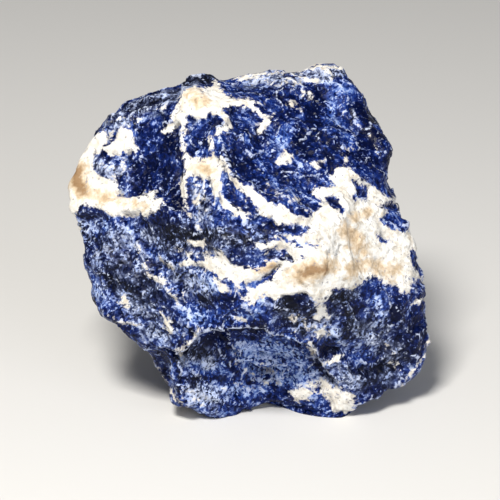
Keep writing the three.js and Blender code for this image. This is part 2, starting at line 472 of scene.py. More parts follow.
# %% Flake scars, chips and grain all over
SCARS = [(10.0, 0.45, 21), (4.4, 0.36, 22)]  # mm wide, share of full depth, seed
CHIPS = [(5.2, 0.30, 24), (2.1, 0.22, 23)]
STRAY, STRAY_SIZE = 0.35, 1.6  # mm that the borders of scars and chips stray, and over what
SUGAR_HEIGHT, SUGAR_SIZE = 0.05, 1.0  # mm: the grains stand a little off the break, like sugar
strays = [roughness(points, STRAY_SIZE, seed=25 + k, octaves=2) for k in range(3)]
crooked = points + STRAY * np.stack(strays, axis=1)
broken = sum(share * flake_scars(crooked, size, seed) for size, share, seed in SCARS)
broken += sum(share * chips(crooked, size, seed) for size, share, seed in CHIPS)
sugar = SUGAR_HEIGHT * roughness(points, SUGAR_SIZE, seed=31, octaves=2)
print("scars reach from", round(float(broken.min()), 2), "to", round(float(broken.max()), 2), "mm")

# %% [markdown]
# ## The grain runs in streaks
#
# The rock was squeezed while it was hot, so its grains are drawn out along bent lines. Streaks
# like that are noise that was smeared along a direction. The direction is drawn on the broad face
# as a few short strokes, and each point takes the angle of those near it. An angle and its
# opposite are the same streak, so twice the angle is averaged, which makes the two agree.

# %% Streaks along the grain
# Each: mm to the right, mm up, and the angle of the grain there in degrees, 90 being up.
GRAIN_RUNS = [
    (-26, 10, 60), (-16, 22, 25), (-15, 12, 75), (-7, 17, 90), (-1, 14, 118), (2, 10, 125),
    (9, 20, 95), (16, 22, 105), (20, 14, 105), (8, 13, 120), (-6, 6, 110), (4, 5, 150),
    (-24, 0, 150), (-16, 0, 155), (-6, 1, 160), (4, 0, 170), (14, 6, 140), (20, -2, 130),
    (26, -4, 110), (8, -6, 185), (-4, -6, 165), (-14, -6, 135), (-20, -8, 120), (-16, -13, 150),
    (-4, -18, 175), (6, -19, 190), (-8, -24, 165), (8, -24, 185), (10, -11, 110), (17, -12, 95),
    (24, -12, 80), (22, -19, 30), (2, 26, 5), (12, 28, 10),
]
RUN_REACH = 3.0  # mm within which one stroke rules the angle
TURN, TURN_SIZE = 0.5, 6.0  # radians that noise turns the grain by, and over how many mm
BACK_RUN = np.array([0.75, 0.35, 0.55])  # the way the streaks run where the eye can't see
BACK_BEND, BACK_BEND_SIZE = 0.8, 16.0  # and how far and over what noise bends them there
STREAKS = [("streak", 0.50, 0.42, 4, 81), ("band", 1.4, 0.8, 3, 82)]  # width, step, steps, seed


def grain_direction(at, sight):
    """The unit vector along which the grain is drawn out at each point."""
    twice = np.zeros((len(at), 2))
    for right, up, angle in GRAIN_RUNS:
        pull = 1 / (((sight - [right, up]) ** 2).sum(axis=1) + RUN_REACH**2) ** 1.5
        doubled = math.radians(2 * angle)
        twice += pull[:, None] * [math.cos(doubled), math.sin(doubled)]
    angle = 0.5 * np.arctan2(twice[:, 1], twice[:, 0])
    angle += TURN * roughness(at, TURN_SIZE, seed=83, octaves=2)
    front = np.cos(angle)[:, None] * ACROSS + np.sin(angle)[:, None] * UP_FACE
    bent = [BACK_BEND * roughness(at, BACK_BEND_SIZE, seed=84 + k, octaves=2) for k in range(3)]
    return np.where(seen[:, None] > 0.5, front, unit(BACK_RUN + np.stack(bent, axis=1)))


def smeared(at, along, width, step, steps, seed):
    """Noise of lumps width mm wide, smeared along a direction, with a spread of 1."""
    places = [at + k * step * along for k in range(-steps, steps + 1)]
    total = sum(roughness(place, width, seed, 1) for place in places)
    return (total - total.mean()) / total.std()


along = grain_direction(points, sight)
streaks = {name: smeared(points, along, *how) for name, *how in STREAKS}
STREAK_HEIGHT, CREST_HEIGHT = 0.04, 0.05
# The absolute value folds the bands at zero, which gives them sharp crests.
sugar += STREAK_HEIGHT * streaks["streak"] - CREST_HEIGHT * np.abs(streaks["band"])

# %% [markdown]
# ## Where the calcite runs
#
# Calcite filled the cracks of the blue rock, so it comes as bands, webs and swollen patches, with
# islands of blue left in them. On the broad face they are drawn. Round the back they follow a few
# bent sheets that pass right through the stone, which is how a vein runs, and those sheets leave
# the edges where the drawn veins reach them.

# %% Patches of calcite on the broad face
CALCITE_PATCHES = [
    # crown
    [(-12.4, 21), (-11, 23.4), (-10, 25.1), (-8.2, 25.9), (-6.8, 24.9), (-5.6, 25.5),
     (-4.5, 26.8), (-3.4, 24.5), (-1.5, 24), (0.5, 24), (1.7, 22.9), (0, 22.6),
     (-2, 22.6), (-3.6, 21.6), (-3.2, 20.3), (-4.8, 21.1), (-7.5, 20.6), (-9.4, 21.1),
     (-10.3, 19.8), (-11.6, 20.3)],
    # block under the crown
    [(-10.4, 14.7), (-9.5, 14.9), (-7.8, 14.3), (-6.2, 15), (-4.8, 14.6), (-4.2, 12),
     (-4.4, 10.2), (-4.8, 8), (-5.4, 6.6), (-5.8, 8.6), (-6.4, 10.7), (-8.4, 11.1),
     (-10.3, 10.5)],
    # left wing
    [(-31, 6), (-31, 13), (-26.5, 17.4), (-24.2, 18.6), (-21.6, 18.3), (-20, 19),
     (-18.6, 18.8), (-18.2, 17.4), (-17.4, 16.1), (-18.2, 15.1), (-19.5, 15.3), (-20.6, 14.8),
     (-22.1, 15), (-24.8, 14.8), (-25.2, 13.4), (-24, 11.7), (-21.2, 10.9), (-21.1, 9.4),
     (-20.7, 7.8), (-18, 8.2), (-15.2, 9.3), (-14.3, 7.9), (-13.5, 6.9), (-14.7, 5.9),
     (-16, 4.9), (-20.5, 4.9), (-22.3, 5), (-23.8, 5.9), (-25.2, 6.5), (-27.6, 5.8),
     (-28.6, 4.4)],
    # shoulder
    [(14.4, 12.4), (16, 12.9), (17.3, 12.3), (19.2, 10.7), (21.3, 9.2), (23, 7.7),
     (26, 7), (30, 3), (31, -5), (27.4, -6), (26.3, -8.3), (25, -7.7),
     (23.6, -7), (21.8, -6.4), (20, -5.9), (18.6, -6.5), (17, -7.6), (15.5, -7.2),
     (14, -7.4), (13.2, -8.4), (12.5, -10), (11.4, -10.1), (10.4, -9), (8.8, -8.2),
     (7.2, -8.2), (5.3, -8.6), (4, -9.2), (2.2, -8.2), (0.6, -9.9), (-1.4, -8.8),
     (-2.2, -7.4), (-2.8, -6), (-4.4, -5.6), (-5.6, -4.5), (-8, -3.6), (-10.6, -3.7),
     (-11.2, -3.3), (-9.4, -2.9), (-7.2, -2.5), (-5.2, -1.8), (-3.4, -2.4), (-1.6, -3.5),
     (1, -4), (2.6, -3.2), (3, -1), (0.6, -0.4), (0.4, 0.3), (3.4, 0.2), (5, 1.4),
     (8.8, 1.2), (9.8, 2.6), (8.6, 3.4), (6.6, 2.9), (4.9, 3.6), (3.4, 4.3), (1.4, 5.6),
     (3.6, 6.3), (5.6, 5.4), (8.2, 5.1), (11.2, 5.4), (12.2, 6.3), (10.8, 8.2), (11.3, 9),
     (13.4, 9.1), (14.2, 9), (13.7, 10.4)],
    # spots on the blue
    [(1.5, 19.6), (2.6, 20.1), (4.9, 21.4), (4.6, 20), (4, 19.2), (2.2, 18.1)],
    [(4.6, 13.8), (5.7, 14.2), (6.3, 15), (7.4, 14.2), (7.5, 13.4), (6.3, 13.1), (5.2, 12.8)],
    [(10.2, 13.2), (10.8, 13.8), (12.9, 13.7), (12.2, 12.6), (11.5, 12), (10.9, 12.4)],
    [(-9.9, 0.7), (-7, 0.8), (-6.9, -0.5), (-8.6, -0.6)],
    [(-5.9, -5), (-4.3, -5.8), (-3.1, -7), (-2.4, -8.3), (-3.6, -8.2), (-4.8, -7.2)],
    [(-20.9, -9.2), (-20.3, -8), (-19.2, -9.7), (-20.2, -9.9)],
    [(6.2, -12.2), (7, -11.5), (7.9, -11.4), (7.4, -12.4)],
    [(10.9, -10.4), (13, -10.2), (13.3, -12.2), (11.4, -12.6)],
    [(10.8, -14.4), (12.2, -13.8), (12.6, -14.8), (11.4, -15.6)],
    # foot
    [(11.2, -22), (12.4, -21.8), (13.2, -23.6), (14.4, -24.2), (13.2, -25.4), (11.4, -24.2)],
    [(13.2, -24.4), (15.8, -24.1), (17.3, -25.4), (17, -27.4), (13.6, -27.2), (12.6, -25.6)],
    [(6.2, -24.2), (8.4, -23.7), (10.2, -24.4), (9.8, -25.6), (7, -25.8)],
    [(28, -17), (30, -16.6), (32, -14.4), (29.6, -13.6), (29.2, -15)],
]

# %% Veins between the patches
# The thinnest have a half-width of 0 or less: of those, the ragged border leaves broken dashes.
CALCITE_VEINS = [
    [(-10, 21, 0.4), (-10.2, 17.4, 0.3), (-9.9, 14.6, 0.4)],
    [(-10.3, 11, 0.5), (-10.1, 5.4, 0.3), (-9.6, 4.4, 0.1)],
    [(-13.5, 18.3, 0.35), (-12, 19.3, 0.55), (-10.4, 20.2, 0.6)],
    [(-2.6, 19.5, 0.45), (-4.8, 18.6, 0.45), (-5.7, 17.4, 0.4), (-5.8, 14.6, 0.35)],
    [(-2.6, 19.4, 0.4), (-3.4, 20.8, 0.5)],
    [(-4.5, 14.4, 0.3), (-3.4, 12.6, 0.5), (-2.2, 10.8, 0.55), (-0.5, 9.2, 0.7),
     (1, 7.7, 0.95), (3.2, 6.1, 1.2), (5.2, 4.8, 1.4), (8.2, 4.2, 0.9)],
    [(-4.8, 8, 0.35), (-3.2, 6.4, 0.5), (-1.6, 5.5, 0.55), (0.4, 4.6, 0.35)],
    [(0.8, 23.4, 0.6), (2.2, 21.8, 0.4), (3.4, 20.6, 0.7)],
    [(6.4, 23, 0.05), (7.8, 22.8, 0.15), (9.2, 21.6, 0.15)],
    [(8.8, 24.6, 0.1), (10, 24.2, 0.35), (10.7, 23.6, 0.15)],
    [(15, 12.9, 0.2), (16.1, 13.5, 0.35), (16.6, 14.6, 0.2), (17.2, 15.6, 0.1)],
    [(-20.8, 18.8, 0.3), (-18.6, 19.8, 0.15), (-16.4, 20.8, 0.05)],
    [(-23.2, 20.3, -0.1), (-20.6, 20.5, 0), (-18.4, 20.8, 0), (-15.4, 21.5, 0),
     (-13.2, 22.2, 0), (-12, 22.9, -0.1)],
    [(-17.9, 0.2, 0.05), (-17.2, -2.4, 0.05), (-16.5, -4.1, 0.2), (-15, -5.6, 0.15),
     (-13.4, -6.9, 0.1), (-12, -8.6, 0.35), (-10.8, -8.8, 0.35), (-10.3, -7.5, 0.1)],
    [(-13.8, -10.8, 0.3), (-13.3, -12.4, 0.5), (-12.6, -14.2, 0.35)],
    [(-11.4, -0.5, 0.1), (-10, -1.3, 0.2), (-9, -2, 0.2)],
    [(-5.4, -0.9, 0.25), (-4.2, -1.4, 0.3), (-3.6, -2.2, 0.3)],
    [(-14.6, -2, 0.2), (-13.4, -3.1, 0.3), (-12.4, -3.5, 0.2)],
    [(-23, -10.9, 0.2), (-21.6, -12.1, 0.25), (-18.4, -12.9, 0.2)],
    [(22.7, -16.4, 0.25), (23.1, -18, 0.2), (24, -19.8, 0.1)],
    [(12, -19.7, 0.3), (13.6, -19.4, 0.4), (15, -18.2, 0.35)],
    [(10.2, -16.8, 0.35), (10.6, -18, 0.25)],
    [(-3.8, 27.1, 0.2), (0, 27.2, 0.15), (4, 27.6, 0.25), (8, 27.9, 0.1), (12, 28.9, 0.25),
     (15.6, 28.8, 0.3)],
    [(2.6, 26.4, 0.1), (5.6, 26.2, 0.2), (7.6, 27, 0.15)],
    [(13.4, 28.4, 0.25), (14.4, 27, 0.15)],
    [(27.4, -9.8, 0.4), (28.2, -9.6, 0.4)],
    [(-1.8, -11.8, 0.3), (-0.8, -12.2, 0.4)],
    [(-2.4, -17.6, 0), (-2.2, -19.2, 0.1), (-0.6, -20.8, 0.1), (2.6, -21.2, 0.12),
     (6, -20.6, 0)],
    [(-3, -22.4, 0), (1, -23.2, 0.1), (4.6, -22.6, 0.1), (6.2, -21.8, 0)],
    [(7.4, -14.6, 0), (9.4, -16, 0.2), (10.4, -17.4, 0.1)],
    # a pale line along the ledge's lip: painted highlight where the lip catches the light
    [(-11.6, -17.4, 0.2), (-9.6, -15.4, 0.2), (-7.8, -13.4, 0.2)],
    # rims on the face's edges: calcite bared by wear, and painted highlight where they catch light
    [(14.8, 24, -0.1), (16.3, 20.9, 0.05), (19, 18.8, 0.05), (20.8, 16.9, 0.05),
     (22, 14.6, -0.1)],
    [(-14.8, -20.4, 0), (-13.2, -23.4, 0.15), (-10.4, -26.4, 0.15), (-8, -28.2, 0.1)],
    [(23.8, -24, 0), (26.2, -21.8, 0.15), (28.4, -18.6, 0.2), (30, -15.4, 0.25)],
]

# %% Where calcite is only sprinkled through the rock, in specks
SPRINKLED = [
    [(-7.8, 10, 1), (-7.4, 6, 1.5), (-7.6, 3.6, 1)],
    [(-24.6, 13.6, 0.4), (-22, 12.4, 0.8), (-22.4, 10.2, 0.7)],
    [(-20.2, 15.4, 0.8), (-19.6, 13.4, 0.5), (-20.6, 11.4, 0.3)],
    [(-26, 0, -0.2), (-21, -1.4, 0.1), (-16, -2.4, 0)],
    [(-21, -8.8, 0.5), (-19.4, -9.6, 0.5)],
    [(-16.8, -3.8, 0.5), (-13.4, -6.4, 0.9), (-11, -8.8, 1)],
    [(-14, -10.6, 0.6), (-13, -13.8, 0.8)],
    [(-11.4, -1.2, 0.1), (-8.6, -1.6, 0.3), (-4.8, -1.4, 0.2)],
    [(1, 26.6, 0.5), (6.6, 26.8, 0.7), (11.6, 26.8, 0.6)],
    [(6.4, 25.2, 0.5), (10, 24.2, 0.6)],
    [(15.2, 13.2, 0.7), (17, 15.6, 0.7)],
    [(9.6, -12.6, 1.4), (12, -14.6, 1.4)],
    [(10.6, -22.6, 1.4), (14, -24.6, 1.6), (16.6, -26.6, 1.2)],
    [(22.4, -17, 0.8), (23.8, -20, 0.8)],
    [(-9.6, -24.2, 1.4), (-6.6, -25.6, 1.2)],
    [(3.4, 9, 0.6), (6, 7.4, 0.7), (8.6, 7, 0.6)],
    [(0.6, -17.6, 0.1), (2.6, -19.4, 0.4), (3.6, -20, 0.1)],
    [(-11.6, -22.4, -0.1), (-6, -22.8, 0), (-2.4, -23.8, -0.1)],
    [(-9.8, -19.2, -0.2), (-5.4, -19.6, -0.1)],
]
SPRINKLED_DEPTH = -0.14  # mm: sprinkled rock lies this far outside the calcite, so specks get in

# %% Islands of blue in the calcite, and how deep each place is in it
BLUE_ISLAND_PATCHES = [
    [(16.9, 10), (17.7, 10.1), (18.4, 9.4), (19.6, 9), (19.6, 6.9), (18.6, 7),
     (17, 7.7), (17.5, 8.6)],
    [(12.9, 6.7), (14.1, 7.6), (15, 6.9), (15.1, 5.7), (14.2, 5.9)],
    [(22.5, 5.8), (24, 6.6), (27, 6), (26, 1.6), (24.1, 2.1), (22.5, 3.2), (21.7, 3.9),
     (22.7, 4.3), (23.1, 5)],
    [(26.1, -2), (27.2, -1.4), (30, -2), (30, -5.6), (28.2, -5.2), (27.4, -4.5),
     (26.7, -3.8)],
    [(-1.9, -0.5), (-0.6, -2.1), (2.3, -1.8), (2.5, -2.8), (0, -3.9), (-1.8, -2.9),
     (-2.6, -1.2)],
    [(-0.6, -6.2), (0.2, -7.4), (-0.8, -8.2), (-1.8, -7)],
]
BLUE_ISLAND_STROKES = [
    [(15.2, 6, 0.2), (15.9, 5.2, 0.25)],
    [(21.3, 1.1, 0.3), (22.1, 0.6, 0.35), (22.8, 0, 0.3)],
    [(3.3, 2.3, 0.35), (6.5, 2.5, 0.35), (9.5, 1.9, 0.15)],
    [(2.5, 0.3, 0.25), (5.5, 0.8, 0.2), (7.2, 0.3, 0.25), (11.5, -0.3, 0.1)],
    [(3.2, -2.1, 0.8), (4.6, -1.5, 0.9)],
    [(5.6, -1.7, 0.75), (7.2, -2.6, 0.5)],
    [(0.1, -7, 0.3), (1.8, -6.2, 0.3), (3.6, -5.2, 0.3), (4.9, -4.2, 0.15)],
    [(8.9, -1.7, 0.2), (9.5, -2.2, 0.2)],
    [(7.2, 3.7, 0.2), (8.1, 3.2, 0.25)],
    [(7, 4.9, 0.3), (9, 4.8, 0.35), (11.4, 5.7, 0.4)],
    [(-22.9, 18.2, 0.2), (-22.4, 16.4, 0.25), (-21.3, 17.8, 0.15)],
    [(-27, 6.3, 0.2), (-25.4, 6.4, 0.2)],
]


def drawn_calcite(sight):
    """How deep each sighted place is in calcite, in mm, with the blue islands cut out."""
    depth = np.max([in_patch(sight, patch) for patch in CALCITE_PATCHES], axis=0)
    depth = np.maximum(depth, np.max([in_stroke(sight, vein) for vein in CALCITE_VEINS], axis=0))
    islands = [in_patch(sight, patch) for patch in BLUE_ISLAND_PATCHES]
    islands += [in_stroke(sight, stroke) for stroke in BLUE_ISLAND_STROKES]
    depth = np.minimum(depth, -np.max(islands, axis=0))
    sprinkled = np.max([in_stroke(sight, stroke) for stroke in SPRINKLED], axis=0)
    return np.maximum(depth, SPRINKLED_DEPTH + np.minimum(sprinkled, 0))


# %% Calcite sheets through the rest of the stone
# Each sheet: a point that it passes through, the way across it, and its half-width, all in mm.
SHEETS = [
    ((26, 2, 27), (0.16, 0.34, 0.93), 3.4),
    ((-6, 4, 47), (0.30, -0.66, 0.69), 1.8),
    ((-24, 2, 31), (-0.28, 0.20, 0.94), 2.4),
    ((0, 16, 22), (0.88, 0.30, -0.36), 1),
    ((12, 6, 6), (-0.42, 0.28, 0.86), 1.3),
]
SHEET_BENDS = [(14.0, 3.6, 51), (4.0, 0.9, 55)]  # size and reach of each bend in mm, and its seed
# What noise does to the sheets. Each: the level that it swings round, its swing, its size in mm,
# its seed and its octaves.
SWELLS = (0.7, 1.7, 7.0, 52, 3)  # a sheet swells and pinches
ISLANDS = (-1.1, 2.2, 3.0, 54, 2)  # it has islands of blue
SPRINKLES = (-1.1, 3.0, 7.0, 56, 2)  # in some places calcite is only sprinkled through the rock
SPOTS = (-1.1, 1.6, 2.4, 53, 2)  # and there are a few spots of it anywhere


def levelled_noise(at, level, swing, size, seed, octaves):
    """Noise that swings round a level of its own."""
    return level + swing * roughness(at, size, seed, octaves)


def sheet_calcite(at):
    """How deep each point is in the sheets of calcite that cross the stone, in mm."""
    bend = sum(reach * roughness(at, size, seed, 3) for size, reach, seed in SHEET_BENDS)
    swell = levelled_noise(at, *SWELLS)
    depth = np.full(len(at), -np.inf)
    for k, (through, across, half) in enumerate(SHEETS):
        off = (at - through) @ (np.array(across) / np.linalg.norm(across))
        off += bend if k % 2 == 0 else -bend
        depth = np.maximum(depth, half * swell - np.abs(off))
    depth = np.minimum(depth, -levelled_noise(at, *ISLANDS))
    sprinkled = SPRINKLED_DEPTH + np.minimum(0, levelled_noise(at, *SPRINKLES))
    return np.maximum(depth, np.maximum(sprinkled, levelled_noise(at, *SPOTS)))


calcite = seen * drawn_calcite(ragged) + (1 - seen) * sheet_calcite(points)

# %% Put the relief on
# Calcite breaks cleaner than the grainy blue, and stands a little proud of it.
CALCITE_CALM, CALCITE_PROUD, CALCITE_EDGE = 0.65, 0.15, 0.3
SUGAR_CALMED, SUGAR_KEPT = 0.7, 0.3  # shares of the sugary grain that calcite does and doesn't calm
in_calcite = ramp(calcite, -CALCITE_EDGE, CALCITE_EDGE)
height = seen * relief + CALCITE_PROUD * in_calcite
height += (broken + SUGAR_CALMED * sugar) * (1 - CALCITE_CALM * in_calcite) + SUGAR_KEPT * sugar
# The flat spot that it rests on is one clean break, so it is chipped far less.
REST_CALM, LOOKS_DOWN, MM_UP = 0.85, (0.75, 0.95), (1.0, 3.0)
on_rest = ramp(-out[:, 2], *LOOKS_DOWN) * (1 - ramp(points[:, 2], *MM_UP))
height *= 1 - REST_CALM * on_rest
points = points + height[:, None] * out + (seen * overhang)[:, None] * UP_FACE

# %% [markdown]
# ## Size and flat spot
#
# All that chipping may carry the skin a little past the measured lump, or leave it short, so it is
# stretched by a hair to fill the measured box again. The stone rests on a small flat spot. To
# make one, it is let sink a third of a millimetre into the ground and cut off there, so the
# lowest chips are gone, the deeper ones stay, and nothing reaches below the surface.

# %% Fill the measured box and settle on the flat spot
SINK = 0.35  # mm
TOUCHES, IS_UNDERSIDE = 0.02, -0.5  # mm above the ground, and how far the skin looks up
points = filled(points, LOW - [0, 0, SINK], HIGH)
points[:, 2] = np.maximum(points[:, 2], LOW[2])
out = outward(points)
flat_spot = (points[:, 2] < TOUCHES) & (out[:, 2] < IS_UNDERSIDE)
print("points that touch the ground:", int(flat_spot.sum()))

# %% [markdown]
# ## Tones inside the blue
#
# The blue is not one colour. Where grains are clear and deep it is nearly black, where they are
# fractured it is milky, and there are patches of grey rock. Iron has stained some calcite tan.
# The large tones are drawn on the broad face as soft strokes, and noise carries them round the
# back; the small ones come from the material. Some strokes paint light and shade as well: shadow
# under the ledge and in the groove below it, light in the shaded dish at the foot and under the
# left wing, and shade on the facet at the upper left.

# %% Clear and deep, so nearly black, and painted shadow under the ledge
DARK = [
    [(-17, 11, 2), (-13, 12, 2.4), (-11.4, 8.6, 1.8), (-10.9, 6, 1)],
    [(-12.6, 19.4, 1), (-11.3, 15, 1.4)],
    [(-10.4, 26.6, 0.7), (-6, 27.4, 0.7)],
    [(7.6, 23.2, 1), (7.8, 21.8, 1)],
    [(11.3, 24.5, 1.2), (11.5, 19.5, 1.6), (11, 17.6, 1.2)],
    [(18, 14.2, 1.4), (20.4, 17, 1.8), (20.8, 13.4, 1.4)],
    [(-2.6, 15, 1.2), (0, 12.6, 2.2), (2, 10.2, 1.4)],
    [(14.6, 17, 1), (13.5, 14.6, 1.4)],
    [(-7.4, -9.4, 1), (-4, -9.8, 1.4)],
    # Under the ledge and in the groove round the small bowl below it, these strokes are painted
    # shadow.
    [(-10.6, -17, 0.8), (-7.6, -15.6, 1.8), (-5.4, -16, 1.6), (-4.8, -17.8, 0.9)],
    [(-6.6, -14, 0.9), (-1, -13.8, 0.9), (1.6, -13.8, 1.4), (2.4, -15, 1)],
    [(-3.9, -15.6, 0.6), (-3.4, -18.2, 0.5), (-2, -20.8, 0.6), (0.6, -21.9, 0.5),
     (4, -22, 0.3)],
    [(-13, -21.2, 0.35), (-4, -21.8, 0.4)],
    [(9.8, -18.6, 0.4), (13.8, -23.6, 0.5)],
    [(14.6, -8.8, 0.8), (16.6, -11, 0.8), (16, -15.4, 0.8)],
    [(5.6, -10, 1.6), (8.4, -10.2, 2), (8.8, -14.4, 1.8)],
    [(24, -11, 1), (27, -14, 1.4), (26, -18, 1.2)],
    [(12.2, -17.2, 1.2), (13.2, -17.4, 1.4)],
    [(-7.4, 6.8, 0.9), (-7, 6.9, 0.9)],
    [(-16.4, -6, 1.4), (-17.4, -8.4, 1.4)],
    [(-13.2, 1.6, 1.6), (-9.8, 1.4, 1.4), (-5.6, 1.8, 1)],
    [(-27, 5, 0.3), (-24, 4.2, 0.4)],
    [(14, 6.8, 0.8), (14.6, 6.2, 0.7)],
    [(3.4, -2, 0.8), (7.2, -2.4, 0.7)],
    [(1, 2.2, 0.9), (6.4, 2.5, 0.6)],
    [(18, -20.8, 0.6), (23.6, -20.4, 0.7)],
    [(18.6, 22.6, 0.5), (20.8, 18.6, 0.7)],
    [(8.4, 19, 0.9), (9.4, 15, 1)],
    [(2.8, 18, 0.8), (0.8, 15.4, 1)],
]

# %% Cracked, so milky, and painted light in the shaded dish at the foot
VEIL_AND_LIGHT = [
    [(-26.4, 3.6, 1.4), (-21, 2.2, 1.8), (-16.4, 0.4, 1.6)],
    [(-20.2, 15, 1), (-19.8, 12, 0.9)],
    [(-19, 23.4, 0.45), (-13.4, 24.8, 0.35)],
    [(-24, -1, 0.7), (-19, -0.4, 0.8), (-14, -2.4, 0.9), (-10.4, -6.4, 2.4)],
    [(-11, -4.4, 2), (-7, -5.6, 2.4), (-4.4, -8.6, 1.6)],
    [(-10, -11.6, 2), (-6, -12, 1.8), (1, -11.4, 2)],
    [(-20, -10, 1), (-15, -10.6, 1.6), (-12, -14, 1.6)],
    [(20.4, -8.4, 1.2), (21.4, -11, 1.4), (21.2, -13.6, 1.4), (19.4, -17, 1.3),
     (18.4, -19, 1)],
    [(9.6, -12, 1.6), (12, -13.6, 1.6), (15.4, -16, 1.4)],
    [(-23.4, 19, 0.8), (-20, 19.6, 0.9), (-15.6, 20.6, 0.6)],
    # In the dish at the foot these strokes also paint light, to lift the shade that the dish lies
    # in.
    [(-12, -21, 1.4), (-4, -20.6, 1.6), (4, -21.6, 2.2), (10, -20, 1.8)],
    [(3, -15.8, 1.4), (6.4, -16.6, 2), (9, -18.8, 1.6)],
    [(0.6, 17, 1.2), (1.6, 13.6, 1.2), (4, 10.6, 1.2)],
    [(14.6, 21, 1.2), (15.6, 17.4, 1)],
    [(-24, 13.6, 0.6), (-20.4, 12.4, 1)],
    [(13.4, 20.2, 1.4), (14.4, 22.6, 1.4), (15, 25.4, 1.2)],
    [(6, 17.4, 1.2), (7.4, 19.2, 1)],
    [(-9, -5.6, 1.4), (-8.4, -8.8, 1.4)],
    [(-19.4, -11.8, 1.4), (-16, -13.6, 1.8), (-13.4, -15.4, 1.4)],
    [(-5, -18, 1.8), (0, -18.6, 2.6), (6, -18.8, 2.4), (9, -21.6, 2)],
    [(15.6, -12.6, 0.8), (17.6, -14.8, 0.8)],
    [(-9.4, -25, 1.6), (-4.6, -25.6, 1.8), (-1, -22.6, 1.4)],
    [(-3.4, 3.2, 1.6), (0.6, 2.8, 1.6)],
    [(-21.8, 19.2, 0.9), (-20.6, 19.2, 0.8)],
    [(7.4, -21.6, 1.4), (12, -21.6, 1.4), (16, -22.6, 1)],
    [(-7.4, 9.8, 1), (-6.6, 9.6, 1)],
    [(9, 11.4, 1.2), (7, 8.6, 1.2)],
    [(16.2, 15.6, 0.9), (17.2, 17.2, 0.7)],
    [(2, 26.2, 0.9), (6.4, 26.7, 1), (11, 27.2, 1.1), (15.4, 27.6, 1.1)],
    [(-7.6, 9, 1.4), (-7.2, 5.6, 1.8)],
    [(-26, -4, 1.2), (-23.6, -9, 1.4)],
    [(23.6, 4.6, 0.8), (24.2, 3.4, 0.8)],
    [(-13.8, -4.6, 1.4), (-12.2, -6.4, 1.2)],
]

# %% Grey rock, and painted shade on the facet at the upper left
GREY = [
    # On the facet at the upper left the grey is also painted shade, darkening a face that turns up
    # to the light.
    [(-21.6, 22, 1.4), (-17.4, 23.4, 2.2), (-12.2, 24.8, 2)],
    [(-11, 26.4, 1.2), (-5.4, 27.4, 1.2)],
    [(-13.4, 1.6, 1.4), (-9, 1, 1.8), (-5, 1.6, 1.4), (0, 1, 1.2)],
    [(-22, -5.4, 1.6), (-19.4, -6.8, 2)],
    [(13.6, 27.4, 1.2), (15, 28, 1.2)],
    [(6, -10.4, 1.6), (8.8, -13.2, 1.6)],
    [(16.8, -12.2, 1.4), (18.2, -15, 1.4)],
    [(24, -17.2, 1.4), (22, -21, 1.4)],
    [(14.2, -8.8, 1), (17, -8.4, 1)],
    [(-9.4, -17.2, 1.2), (-6.6, -18.8, 1.2)],
]
# Some grey rock is only mixed into the blue, as a thin wash.
GREY_WASH = [
    [(-27, 3, 2.8), (-21, -2, 4.4), (-17, -8, 5), (-15, -13, 3)],
    [(-16, 2, 3), (-6, 0, 3), (2, 1, 2)],
    [(1, 26.6, 1.4), (9, 27.4, 1.6), (14.6, 27.8, 1.6)],
    [(-10, -23, 2.4), (-6, -25, 2.4)],
    [(6, -10.6, 2.4), (12, -13, 3), (20, -14, 3.6), (24, -18, 3.4)],
    [(12, -21, 2), (18, -22, 2.4), (24, -22, 2)],
    [(-12, -18.6, 1.6), (-8, -17, 1.4), (-5, -17.6, 0.8)],
    [(-12, -4, 2), (-7, -8, 2)],
    [(-7.4, 8, 1.6), (-7.2, 5.6, 2)],
    [(-25, 13.6, 1.4), (-21.4, 12.4, 2), (-22.4, 10.4, 1.4)],
    [(-22.8, 19.8, 1.4), (-18, 20.6, 1.4)],
]
GREY_WASH_SHARE = 0.65

# %% The most cracked and brightest of the blue, and painted light where the rock is shaded
BRIGHT = [
    # In the dish at the foot and under the left wing, these strokes are painted light that lifts
    # the shade there.
    [(-1, -16.8, 1.2), (1.4, -18.6, 2.2), (4.4, -19.4, 1.8)],
    [(2.4, -15.4, 0.9), (6.4, -16.8, 1.2), (9, -19.6, 0.9)],
    [(-27, 3.8, 0.6), (-22.6, 3.2, 0.7)],
    [(-9.4, -24.2, 1), (-6.4, -25.4, 1.2)],
    [(-12, -19.4, 0.5), (-4.6, -19.8, 0.6)], [(-11, -22.6, 0.5), (2, -24.2, 0.6)],
    [(2, -22.4, 0.5), (7, -22.2, 0.9), (10.4, -20.8, 0.7)],
    [(4.2, 18.6, 0.3), (6.2, 16, 0.4)], [(13.8, 24, 0.2), (14.4, 21.4, 0.3)],
    [(-7.6, -5.4, 0.8), (-5.6, -7.6, 0.7)], [(-10.6, -12.6, 0.6), (-8, -11.8, 0.6)],
    [(20.8, -9, 0.4), (21.4, -12.6, 0.5), (19.2, -17.6, 0.4)],
    [(13.6, -12.4, 0.8), (14.4, -15, 0.9)],
]
BRIGHT_SHARE = 1.5

